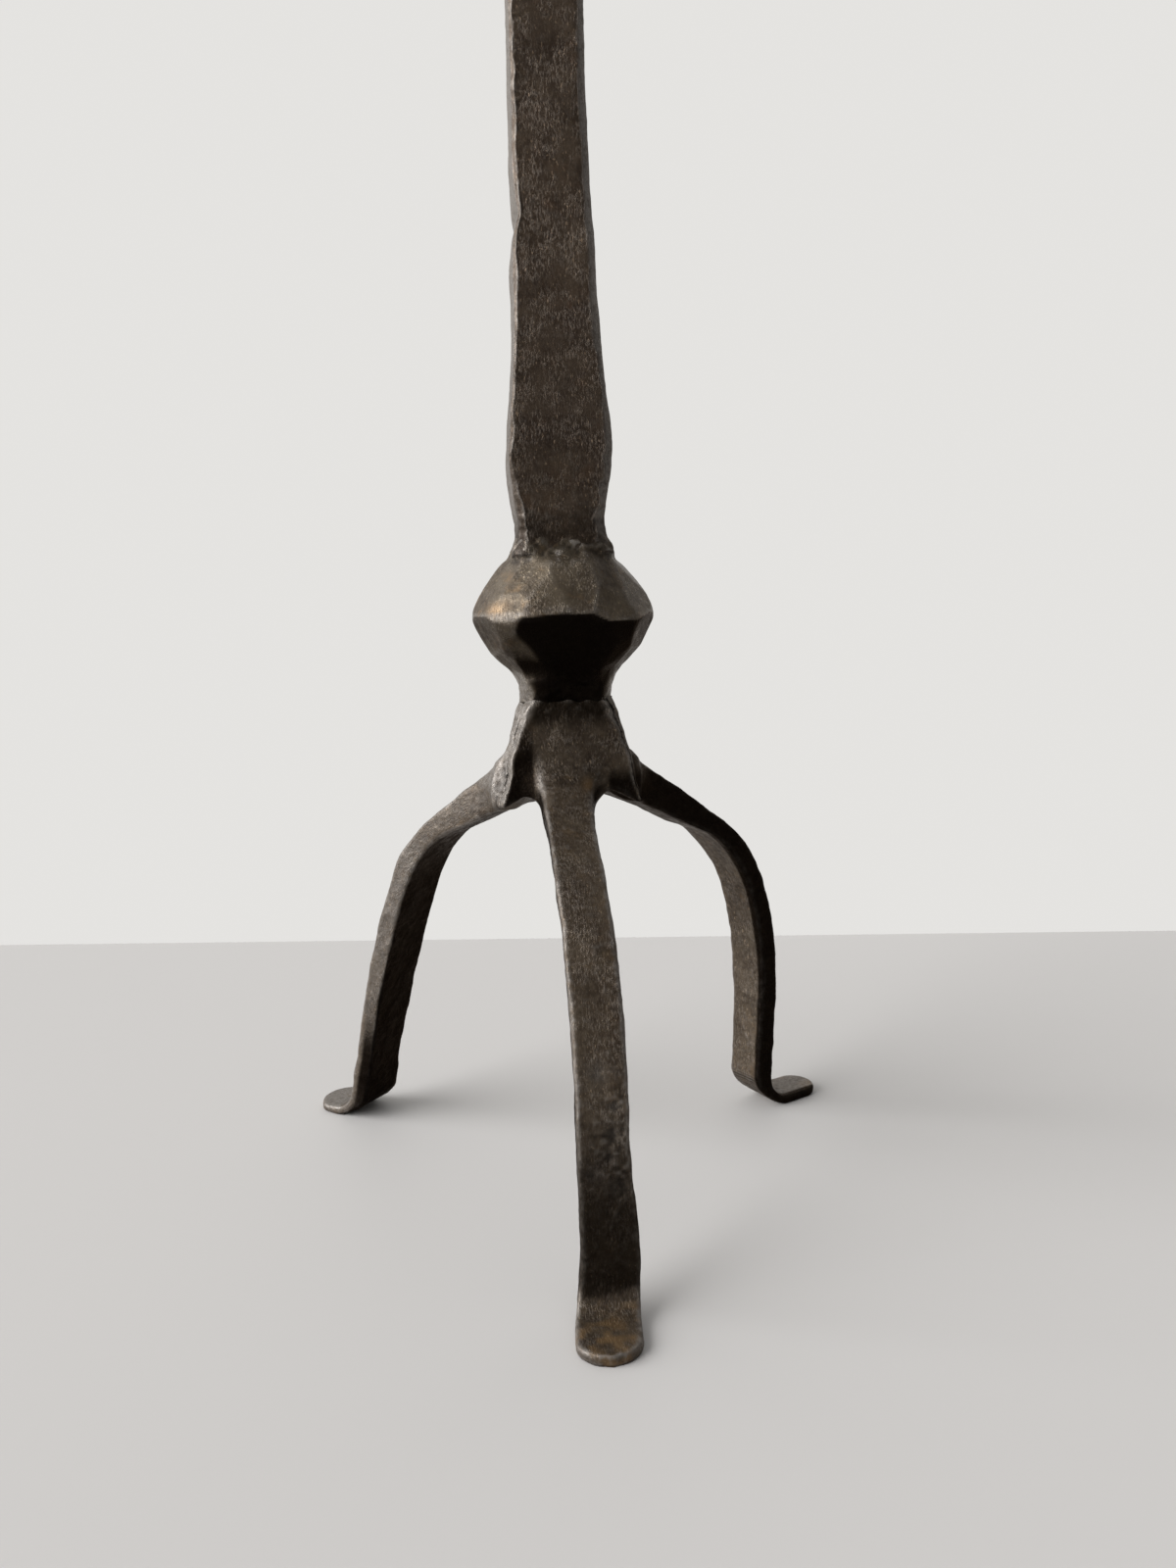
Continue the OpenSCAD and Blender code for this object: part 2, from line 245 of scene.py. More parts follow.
def make_piece(name, node, shape, dent, grain, material, tone=0, soot=0, rubbed=0):
    """One mesh, dented along its normals, in place of a node."""
    points, faces, caps = shape
    points = points + normals(points, faces) * dent.reshape(-1, 1)
    convex = convexity(points, faces, normals(points, faces))
    mesh = bpy.data.meshes.new(name)
    mesh.from_pydata(((points + AXIS) * MM).tolist(), [], faces.tolist() + caps)
    mesh.polygons.foreach_set("use_smooth", [True] * len(mesh.polygons))
    add_layer(mesh, "wear", np.clip(convex * 0.9, 0, 1))
    add_layer(mesh, "hollow", np.clip(-convex * 1.5, 0, 1))
    add_layer(mesh, "tone", tone + np.zeros(len(points)))
    # The next two layers carry painted shade and painted highlight to the material
    add_layer(mesh, "soot", soot + np.zeros(len(points)))
    add_layer(mesh, "rubbed", rubbed + np.zeros(len(points)))
    layer = mesh.attributes.new("grain", "FLOAT_VECTOR", "POINT")
    layer.data.foreach_set("vector", grain.reshape(-1).astype(np.float32))
    mesh.validate()
    piece = bpy.data.objects.new(name, mesh)
    bpy.context.scene.collection.objects.link(piece)
    mesh.materials.append(material)
    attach(piece, "root")
    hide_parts(node)
    return piece


def add_layer(mesh, name, values):
    layer = mesh.attributes.new(name, "FLOAT", "POINT")
    layer.data.foreach_set("value", np.asarray(values, np.float32).reshape(-1))


def ringed(z, angles, r):
    """Points at height z, angle and distance from the axis."""
    z, angles, r = np.broadcast_arrays(z, angles, r)
    return np.stack([r * np.cos(angles), r * np.sin(angles), z], -1)


def skin_noise(points, coarse, fine):
    """The uneven skin that forging leaves, in millimetres."""
    return (coarse * noise(points, 9, 11) + coarse * 0.5 * noise(points, 4, 12)
            + fine * noise(points, 1.7, 13) + fine * 0.6 * noise(points, 0.9, 14))


# A bar's section: a four-sided outline with chamfered corners

FACE_POINTS = 16
CORNER_POINTS = 5


def spread(count):
    """Steps from 0 to 1, close together at both ends."""
    return (1 - np.cos(np.pi * np.arange(count) / count)) / 2


def section(corners, before_cuts, after_cuts, roundness):
    """Rings of points round four corners, given as (rings, 4, 2).

    Each corner is cut off before and after it by the lengths given as (rings, 4).
    Roundness is 0 for a flat chamfer and 1 for a round one, also as (rings, 4).
    """
    pieces = []
    for i in range(4):
        soft = roundness[:, i, None]
        here, after, before = corners[:, i], corners[:, (i + 1) % 4], corners[:, i - 1]
        ahead, back = after - here, before - here
        side = np.linalg.norm(ahead, axis=1, keepdims=True)
        ahead, back = ahead / side, back / np.linalg.norm(back, axis=1, keepdims=True)
        arrive, leave = here + back * before_cuts[:, i, None], here + ahead * after_cuts[:, i, None]
        for f in np.arange(CORNER_POINTS) / CORNER_POINTS:
            flat = arrive + (leave - arrive) * f
            round_part = arrive * (1 - f) ** 2 + here * 2 * f * (1 - f) + leave * f**2
            pieces.append(flat + (round_part - flat) * soft)
        end = here + ahead * (side - before_cuts[:, (i + 1) % 4, None])
        for f in spread(FACE_POINTS):
            pieces.append(leave + (end - leave) * f)
    return np.stack(pieces, 1)


# The stem: a square bar with hammered corners, between two round tenons

STEM_STEP = 0.6
STEM_SINK = 2.4
STEM_TURN = math.radians(0.5)
LOW_TENON_R = 6
TOP_TENON_R = 4
HEAD_OVER = 2.5
HEAD_H = 2.5
FOOT_CHAMFER = 2.6
STEM_LEFT = [(-2.4, 12.6), (-1.2, 12.4), (0, 11.9), (4, 11.1), (9.5, 11.7), (14, 12.2), (22, 12.8), (26, 12.4), (37, 11.3),
             (49, 10.3), (60, 10.0), (69, 9.9), (73, 9.2), (76, 8.4), (80, 8.9), (84, 9.1),
             (105, 8.8), (126, 8.7), (213, 7.2)]
STEM_RIGHT = [(-2.4, 12.6), (-1.2, 12.4), (0, 11.8), (4, 10.7), (9.5, 10.6), (14, 11.3), (22, 12.3), (26, 12.4), (37, 11.4),
              (49, 10.4), (60, 10.1), (69, 9.9), (76, 9.6), (84, 9.3), (105, 8.8), (126, 9.1),
              (213, 7.2)]
STEM_DEPTH = [(-2.4, 12.6), (-1.2, 12.2), (0, 11.8), (3, 11.2), (8, 11.7), (22, 13), (40, 11.2), (54, 10.5), (213, 7.25)]


def stem_corner_cuts(h):
    """Chamfers of the four corners: front left, front right, back right, back left."""
    cuts = np.empty((len(h), 4))
    for i, (base, low_extra) in enumerate([(0.8, 1.2), (1.7, 0.2), (1.6, 0.6), (1.2, 1.2)]):
        uneven = 0.3 * wobble(h, 13, 21 + i) + 0.3 * wobble(h, 4, 31 + i)
        chips = 1.5 * np.clip(wobble(h, 2.1, 41 + i) - 0.1, 0, 1) * (1 - smooth(20, 28, h))
        drawn_in = 2.4 * (1 - smooth(-2.4, 5, h))
        cuts[:, i] = base + low_extra * (1 - smooth(4, 16, h)) + uneven + chips + drawn_in
    return np.maximum(cuts, 0.35)


def stem_radius(h, angle):
    """Distance from the axis to the stem's surface, chamfers and all, in a direction."""
    across, along = np.abs(np.cos(angle)), np.abs(np.sin(angle))
    half = np.where(np.cos(angle) < 0, curve(STEM_LEFT, h), curve(STEM_RIGHT, h))
    depth = curve(STEM_DEPTH, h)
    flat = np.minimum(half / np.maximum(across, 0.01), depth / np.maximum(along, 0.01))
    return np.minimum(flat, (half + depth - FOOT_CHAMFER) / (across + along))


def make_stem(material):
    h = np.arange(-STEM_SINK, COLLAR_Z - KNOP_Z, STEM_STEP)
    h = np.append(h, COLLAR_Z - KNOP_Z)
    left, right, depth = curve(STEM_LEFT, h), curve(STEM_RIGHT, h), curve(STEM_DEPTH, h)
    corners = np.stack([np.stack([-left, -depth], 1), np.stack([right, -depth], 1),
                        np.stack([right, depth], 1), np.stack([-left, depth], 1)], 1)
    soft = np.repeat(0.2 + 0.7 * (1 - smooth(0, 3, h))[:, None], 4, 1)
    cuts = stem_corner_cuts(h)
    outline = section(corners, cuts, cuts, soft)
    turn = np.array([[math.cos(STEM_TURN), math.sin(STEM_TURN)],
                     [-math.sin(STEM_TURN), math.cos(STEM_TURN)]])
    outline = outline @ turn
    bar = np.concatenate([outline, np.broadcast_to((h + KNOP_Z)[:, None, None], (*outline.shape[:2], 1))], 2)
    angle = np.arctan2(bar[0, :, 1], bar[0, :, 0])
    base_z = HEAD_Z + HEAD_H
    head_top = SOCKET_Z + 3
    below = [(base_z - HEAD_H, LOW_TENON_R * 0.4), (base_z - HEAD_H, LOW_TENON_R * 0.9),
             (base_z - HEAD_H + 0.5, LOW_TENON_R + 1.2), (base_z - 1.1, LOW_TENON_R + HEAD_OVER),
             (base_z - 0.2, LOW_TENON_R + HEAD_OVER), (base_z, LOW_TENON_R + HEAD_OVER - 0.3),
             (base_z, LOW_TENON_R), (base_z + 6, LOW_TENON_R), (KNOP_Z - 3, LOW_TENON_R), (KNOP_Z - STEM_SINK, LOW_TENON_R)]
    above = [(COLLAR_Z, TOP_TENON_R), (PAN_Z, TOP_TENON_R), (head_top, TOP_TENON_R),
             (head_top, TOP_TENON_R + HEAD_OVER - 0.3), (head_top + 0.2, TOP_TENON_R + HEAD_OVER),
             (head_top + 1.1, TOP_TENON_R + HEAD_OVER), (head_top + HEAD_H - 0.5, TOP_TENON_R + 1.2),
             (head_top + HEAD_H, TOP_TENON_R * 0.9), (head_top + HEAD_H, TOP_TENON_R * 0.4)]
    rings = [ringed(z, angle, r)[None] for z, r in below] + [bar] + [ringed(z, angle, r)[None] for z, r in above]
    grid = np.concatenate(rings)
    on_bar = np.zeros(grid.shape[:2])
    on_bar[len(below):len(below) + len(bar)] = 1
    rough_foot = 1 - smooth(3, 14, grid[..., 2] - KNOP_Z)
    dent = on_bar * skin_noise(grid, 0.16, 0.055)
    dent += on_bar * planished(grid, strikes(bar, 150, 5), 9, 0.16)
    dent += on_bar * rough_foot * (0.35 * noise(grid, 3.2, 51) + 0.2 * noise(grid, 1.3, 52))
    dent += (1 - on_bar) * 0.08 * noise(grid, 1.5, 53)
    above_knop = grid[..., 2].reshape(-1) - KNOP_Z
    # Painted shade: the bar darker just above the knop and darker towards its lower half
    soot = on_bar.reshape(-1) * (0.3 * (1 - smooth(2, 12, above_knop)) + 0.28 * (1 - smooth(25, 70, above_knop)))
    shape = rings_shape(grid)
    facing = normals(shape[0], shape[1])
    # Painted highlight: the face turned to the left and the front-right corner painted bright, as where light falls
    # on them
    left_face = smooth(0.75, 0.9, -facing[:, 0])
    right_corner = smooth(0.45, 0.6, facing[:, 0]) * smooth(0.45, 0.6, -facing[:, 1])
    return make_piece("forged_stem", "stem", shape, dent, grid, material, soot=soot,
                      rubbed=on_bar.reshape(-1) * (0.7 * left_face + 0.9 * right_corner))


# The knop: hammered planes round a smooth profile

KNOP_SIDES = 220
KNOP_STEP = 0.45
KNOP_PROFILE = [(-1, 12.1), (0, 12.0), (2.5, 12.1), (5, 12.8), (7.5, 14.4), (10, 17.1), (12.5, 19.3), (15, 20.9),
                (17.5, 22.1), (19.5, 22.65), (21.5, 22.6), (23, 22.3), (25, 21.4), (27.5, 20.2),
                (30, 18.4), (32.5, 16.6), (35, 14.6), (36.5, 13.6), (37.5, 12.5)]
# Rows of planes: height above the knop's base, planes in the row, first angle, depth
KNOP_ROWS = [(33.5, 8, 10, 0.4), (29.5, 10, 24, 0.8), (24.8, 11, 4, 0.9),
             (17.0, 9, 8, 0.9), (11.5, 8, 22, 0.8), (8.2, 8, 5, 0.3)]
KNOP_SOFT = 0.05
RIDGE_DIP = 3.2
RIDGE_DIP_AT = math.radians(280)
RIDGE_DIP_WIDE = math.radians(26)
KNOP_LAP = 2.6
LAP_LOW_AT = math.radians(300)
NECK_OVER = 0.3
NECK_SLOPE = 0.55
KNOP_SINK = 1.0


def knop_planes():
    """Normals and offsets of the hammered planes, turned a little at random."""
    draw = np.random.default_rng(8)
    planes = []
    for height, count, first, depth in KNOP_ROWS:
        r = curve(KNOP_PROFILE, height)
        slope = (curve(KNOP_PROFILE, height + 1.5) - curve(KNOP_PROFILE, height - 1.5)) / 3
        for i in range(count):
            angle = math.radians(first + 360 * (i + draw.uniform(-0.22, 0.22)) / count)
            tilt = math.atan2(-slope, 1) + draw.uniform(-0.1, 0.1)
            normal = np.array([math.cos(angle) * math.cos(tilt), math.sin(angle) * math.cos(tilt), math.sin(tilt)])
            centre = np.array([r * math.cos(angle), r * math.sin(angle), height + draw.uniform(-0.8, 0.8)])
            planes.append((normal, normal @ centre - depth * draw.uniform(0.5, 1.3)))
    return planes


def make_knop(material):
    height = KNOP_Z - CROWN_Z
    z = np.append(np.arange(-KNOP_SINK, height + KNOP_LAP, KNOP_STEP), height + KNOP_LAP)[:, None]
    angle = np.linspace(0, 2 * math.pi, KNOP_SIDES, endpoint=False)[None, :]
    dip = RIDGE_DIP * np.exp(-((angle - RIDGE_DIP_AT) / RIDGE_DIP_WIDE) ** 2) * smooth(4, 15, z) * (1 - smooth(22, 34, z))
    bent_z = z + dip
    plain = curve(KNOP_PROFILE, bent_z)
    x, y = np.cos(angle), np.sin(angle)
    total = np.zeros_like(plain)
    for normal, offset in knop_planes():
        facing = normal[0] * x + normal[1] * y
        r = np.where(facing > 0.2, (offset - normal[2] * bent_z) / np.maximum(facing, 0.2), 99)
        total += np.exp(-(r - plain) / KNOP_SOFT)
    total += np.exp(-0.25 / KNOP_SOFT)
    cut = np.clip(-KNOP_SOFT * np.log(total), -2, 0.3)
    necks = smooth(4, 9, z) * (1 - smooth(height - 4, height - 0.5, z))
    r = plain + cut * necks
    for leg in LEGS.values():
        palm_facing = np.cos(angle - math.radians(leg["angle"]))
        palm = (PALM_R + NECK_OVER + NECK_SLOPE * z) / np.maximum(palm_facing, 0.3)
        r = np.where(palm_facing > 0.3, -smooth_max(-r, -palm, 1.5), r)
    lap = 0.9 * wobble(angle * 12 + 40, 5, 68) + 0.5 * wobble(angle * 12 + 40, 1.8, 69)
    lap = lap + 1.1 * np.cos(angle - LAP_LOW_AT)
    foot = stem_radius(z - height, angle) + 0.25 - 0.9 * smooth(0.4, KNOP_LAP, z - height + lap)
    r = r + (foot - r) * smooth(height - 4.5, height - 0.3, z)
    skin = ringed(z * np.ones_like(angle) + CROWN_Z, angle * np.ones_like(z), r)
    bore_z = np.array([height + KNOP_LAP, height * 0.66, height * 0.33, -KNOP_SINK])[:, None] + CROWN_Z
    bore = ringed(bore_z * np.ones_like(angle), angle * np.ones_like(bore_z), LOW_TENON_R + 0.05)
    grid = np.concatenate([skin, bore])
    outside = np.zeros(grid.shape[:2])
    outside[:len(skin)] = 1
    top_weld = smooth(height - 6.5, height - 1, grid[..., 2] - CROWN_Z)
    low_neck = 1 - smooth(3, 9, grid[..., 2] - CROWN_Z)
    dent = outside * skin_noise(grid, 0.1, 0.03)
    dent += outside * top_weld * (0.3 * noise(grid, 2.6, 61) + 0.16 * noise(grid, 1.1, 62))
    dent += outside * low_neck * (0.45 * noise(grid, 3.6, 63) + 0.18 * noise(grid, 1.4, 64))
    level = (grid[..., 2] - CROWN_Z).reshape(-1)
    shape = rings_shape(grid, wrap=True)
    around = np.broadcast_to(x, grid.shape[:2]).reshape(-1)
    faced = normals(shape[0], shape[1])
    # Painted shade: faces turned downward and the neck painted dark, a little less on the left side that faces the
    # light
    under = smooth(0.02, 0.2, -faced[:, 2]) * (1 - smooth(22, 25, level))
    under = np.maximum(under, 1 - smooth(12, 15, level))
    lit = -0.66 + 0.36 * smooth(3, 13, level)
    turned = smooth(lit - 0.1, lit + 0.05, faced[:, 0])
    lapped = np.broadcast_to(lap, grid.shape[:2]).reshape(-1)
    # Painted shade in the weld's groove round the stem, less on the left
    joint = smooth(height - 5, height, level + lapped + 1.6 * noise(grid, 4, 70).reshape(-1))
    joint = joint * (1 - 0.8 * smooth(-0.5, -0.8, around))
    # Painted shade: the right side of the knop a little darker
    right_side_shade = 0.14 * smooth(-0.1, 0.4, around)
    soot = np.maximum(np.maximum(under * (0.6 + 0.4 * turned), 0.5 * joint), right_side_shade)
    # Painted highlights: the neck's left and right strips painted lighter
    strip = 1 - smooth(9, 14, level)
    left_strip, right_strip = smooth(-0.66, -0.8, faced[:, 0]) * strip, smooth(0.7, 0.85, faced[:, 0]) * strip
    soot = soot * (1 - 0.7 * np.maximum(left_strip, right_strip))
    # Painted highlight: a glint along the left of the ridge, and glints round the weld
    left = smooth(-0.2, -0.45, around)
    ridge_glint = smooth(18.6, 19.6, level) * (1 - smooth(21, 22.2, level)) * left
    glints = smooth(0.3, 0.5, noise(grid, 1.7, 72).reshape(-1)) * joint
    soot = soot * (1 - 0.8 * glints)
    tone = smooth(0.2, 0.6, noise(grid, 9, 66).reshape(-1)) * smooth(19, 21, level) * (1 - smooth(26, 30, level))
    tan_patch = np.exp(-((around + 0.77) / 0.1) ** 2 - ((level - 22.5) / 1.6) ** 2) * (grid[..., 1].reshape(-1) < 0)
    return make_piece("hammered_knop", "knop", shape, dent, grid, material,
                      tone=np.maximum(0.5 * tone, 0.6 * tan_patch), soot=soot, rubbed=np.clip(0.5 * ridge_glint + glints + 0.8 * left_strip + 0.4 * right_strip, 0, 1))


# The legs: flat bars that grow out of the crown's palms, drawn as a field of distances.
# A leg's own place is (out, side, z): out along its direction, side to its left.

LEG_GRID = 0.45
LEG_STEP = 0.5
PALM_R = 9
BACK_R = 5.5
FOOT_T = 2.5
ANKLE_R = 7
SEAM_OVERLAP = 0.15
HEAD_ROOM = 1
TOE_SHARE = 0.42
# Height, then distance of a palm's face from the axis, and half its width
PALM_FACE = [(99, 11.6), (103, 11.2), (107, 10.9), (111, 10.5), (115, 10.0), (118, 9.5), (121, 9.2),
             (124, 9.1), (127.5, 8.9)]
PALM_HALF = [(99, 18.4), (101, 17.6), (103, 16.9), (105, 16.3), (109, 15.3), (113, 14.5), (117, 13.2),
             (120, 12.0), (122, 11.2), (125, 10.1), (127.5, 8.8)]
PALM_BASE = 104
WEB_DROP = 4

LEGS = {
    "front": dict(edge=0.55, fillet=5, web=0, palm_h=11, root_bend=10, root_t=10, angle=-90,
                  before=-215, after=27, arm_slope=29, arm_len=32, shoulder_r=34, shank_slope=70, bow_len=40,
                  ankle_slope=84, thick=5, foot_len=10, foot_w=14,
                  width=[(0, 17), (17, 16.4), (21, 15.4), (27, 13.4), (36, 11.8), (47, 11.3), (67, 11.6),
                         (92, 12), (111, 11.7), (123, 12.2), (131, 12.7), (143, 13.5), (150, 14), (170, 13.8)],
                  drift=[(0, 0), (14, -0.4), (26, -1.4), (47, -1.6), (72, -0.7), (95, 0), (123, 0.1),
                         (131, 0.45), (143, 0.4), (155, -1.2), (170, -1.4)]),
    "left": dict(edge=0.6, fillet=4, web=8, palm_h=8, root_bend=7, root_t=13, angle=145,
                 before=27, after=270, arm_slope=35, arm_len=34.5, shoulder_r=43.5, shank_slope=67, bow_len=45,
                 ankle_slope=76, thick=6.2, foot_len=8, foot_w=15,
                 width=[(0, 20), (8, 28), (14, 31), (17, 29.5), (20, 26), (23, 23), (28, 19.4), (35, 17.6),
                        (45, 17), (70, 17), (95, 16.6), (115, 16), (128, 15), (160, 15)],
                 drift=[(0, 0), (40, 0.3), (80, -0.3), (160, 0)]),
    "right": dict(edge=0.6, fillet=4.5, web=5, palm_h=8, root_bend=7, root_t=11.5, angle=27,
                  before=-90, after=145, arm_slope=34, arm_len=39, shoulder_r=43, shank_slope=73, bow_len=37,
                  ankle_slope=94, thick=6, foot_len=12.6, foot_w=13,
                  width=[(0, 20), (8, 27), (14, 30), (17, 28), (20, 24.5), (23, 21.5), (28, 17.8), (34, 15.6),
                         (40, 15), (70, 15), (95, 15), (110, 14.4), (118, 13.4), (128, 13), (160, 13)],
                  drift=[(0, 0), (40, -0.3), (80, 0.3), (160, 0)]),
}


def arc(r, degrees):
    return r * math.radians(abs(degrees))


def leg_track(leg):
    """Distance out, height, slope and thickness at even steps down the leg's outer face."""
    root_turn = 90 - leg["arm_slope"]
    shoulder_turn = leg["shank_slope"] - leg["arm_slope"]
    bow_turn = leg["ankle_slope"] - leg["shank_slope"]
    arm, half_ankle, bar = leg["arm_len"], leg["ankle_slope"] / 2, leg["thick"]
    root_t = leg["root_t"]
    moves = [(leg["palm_h"], 0, PALM_R), (arc(leg["root_bend"], root_turn), -root_turn, root_t)]
    for length, thinned in ((0.1, 0.05), (0.15, 0.2), (0.25, 0.5), (0.5, 1)):
        moves.append((arm * length, 0, root_t + (bar - root_t) * thinned))
    moves += [(arc(leg["shoulder_r"], shoulder_turn), shoulder_turn, bar), (leg["bow_len"], bow_turn, bar)]
    out, height, slope, thick = PALM_R, CROWN_Z, 90.0, PALM_R
    track = [(out, height, slope, thick)]

    def run(length, turn, thick_end):
        nonlocal out, height, slope, thick
        steps = max(2, round(length / LEG_STEP))
        start = thick
        for i in range(steps):
            middle = math.radians(slope + turn / steps / 2)
            out += math.cos(middle) * length / steps
            height -= math.sin(middle) * length / steps
            slope += turn / steps
            thick = start + (thick_end - start) * (i + 1) / steps
            track.append((out, height, slope, thick))

    for move in moves:
        run(*move)
    ankle_drop = ANKLE_R * (1 - math.cos(math.radians(leg["ankle_slope"])))
    run((height - FOOT_T - ankle_drop) / math.sin(math.radians(leg["ankle_slope"])), 0, bar)
    run(arc(ANKLE_R, half_ankle), -half_ankle, FOOT_T * 1.2)
    run(arc(ANKLE_R, half_ankle), -half_ankle, FOOT_T)
    run(leg["foot_len"], 0, FOOT_T)
    return np.array(track)


def smooth_max(first, second, reach):
    """The larger of two fields, with the crease between them rounded off."""
    gap = np.maximum(reach - np.abs(first - second), 0)
    return np.maximum(first, second) + gap**2 / (4 * reach)


class Leg:
    """The field of signed distances to one leg, in the leg's own place."""

    def __init__(self, leg):
        self.leg = leg
        self.out, self.height, self.slope, self.thick = leg_track(leg).T
        steps = np.hypot(np.diff(self.out), np.diff(self.height))
        self.place = np.concatenate([[0], np.cumsum(steps)])
        toe = leg["foot_w"] * TOE_SHARE
        gone = np.clip((self.place - self.place[-1] + toe) / toe, 0, 1)
        self.half = curve(leg["width"], self.place) / 2 * np.sqrt(1 - gone**2)
        self.drift = curve(leg["drift"], self.place)
        on_foot = 1 - smooth(FOOT_T, FOOT_T * 1.25, self.thick)
        edge = leg["edge"] + (0.5 - leg["edge"]) * on_foot + 0.8 * (1 - smooth(18, 38, self.place))
        seed = int(leg["angle"]) + 400
        self.cuts = []
        for i in range(4):
            uneven = 0.28 * wobble(self.place, 9, seed + i) + 0.22 * wobble(self.place, 3, seed + 10 + i)
            self.cuts.append(edge * (1 + 1.6 * uneven))
        self.plus = math.radians((leg["after"] - leg["angle"]) / 2)
        self.minus = math.radians((leg["angle"] - leg["before"]) / 2)

    def near(self, out, z):
        """Place along the leg, and depth behind its outer face, of points in its middle plane."""
        shape = out.shape
        out, z = out.reshape(-1), z.reshape(-1)
        index = np.empty(len(out), int)
        for i in range(0, len(out), 4096):
            gap = (out[i:i + 4096, None] - self.out) ** 2 + (z[i:i + 4096, None] - self.height) ** 2
            index[i:i + 4096] = gap.argmin(1)
        slope = np.radians(self.slope[index])
        away, up = out - self.out[index], z - self.height[index]
        place = self.place[index] + away * np.cos(slope) - up * np.sin(slope)
        return place.reshape(shape), (-away * np.sin(slope) - up * np.cos(slope)).reshape(shape)

    def distance(self, out, side, z, place, deep):
        half, thick = np.interp(place, self.place, self.half), np.interp(place, self.place, self.thick)
        aside = side - np.interp(place, self.place, self.drift)
        cut = [np.interp(place, self.place, cut) for cut in self.cuts]
        behind = deep > thick / 2
        cut = np.where(aside > 0, np.where(behind, cut[0], cut[1]), np.where(behind, cut[2], cut[3]))
        across = np.abs(aside) - half
        through = np.abs(deep - thick / 2) - thick / 2
        bar = smooth_max(across, through, 0.3)
        bar = smooth_max(bar, (across + through + cut) * math.sqrt(0.5), 0.4 + 3 * (1 - smooth(18, 36, place)))
        bar = bar + 3 * (1 - smooth(self.leg["palm_h"] - 1, self.leg["palm_h"] + 10, place))
        bar = np.maximum(bar, place - self.place[-1])
        face, wide = curve(PALM_FACE, z), curve(PALM_HALF, z)
        ragged = 0.5 * wobble(z, 2.6, 71) + 0.25 * wobble(z, 1.1, 72)
        ways = ((self.plus, side), (self.minus, -side))
        palm = out - face
        for turn, toward in ways:
            edge = (out - face) * math.cos(turn) + (toward - wide - ragged) * math.sin(turn)
            palm = smooth_max(palm, edge, 0.35)
        palm = smooth_max(palm, PALM_BASE - WEB_DROP * smooth(8, 19, np.abs(side)) - z, 2.4)
        web = self.leg["web"] * (1 - smooth(PALM_BASE, PALM_BASE + 9, z)) * smooth(6, 10, np.abs(side))
        seam = np.minimum(*(out * math.sin(turn) - toward * math.cos(turn) for turn, toward in ways))
        whole = -smooth_max(-bar, -palm, 0.4 + (self.leg["fillet"] + web) * smooth(0.3, 4.5, seam))
        whole = np.maximum(whole, -seam - SEAM_OVERLAP)
        middle = np.hypot(out, side)
        whole = np.maximum(whole, BACK_R - middle)
        whole = np.maximum(whole, np.minimum(LOW_TENON_R + HEAD_OVER + HEAD_ROOM - middle, HEAD_Z + HEAD_H - z))
        return smooth_max(whole, z - CROWN_Z, 0.6)

    def settled(self, points):
        """Points moved onto the leg's surface along the field's slope."""
        def field(at):
            return self.distance(at[:, 0], at[:, 1], at[:, 2], *self.near(at[:, 0], at[:, 2]))

        here = field(points)
        slope = np.stack([(field(points + step) - here) / 0.05 for step in np.eye(3) * 0.05], 1)
        move = here[:, None] * slope / np.maximum((slope**2).sum(1), 0.3)[:, None]
        return points - np.clip(move, -LEG_GRID / 2, LEG_GRID / 2)


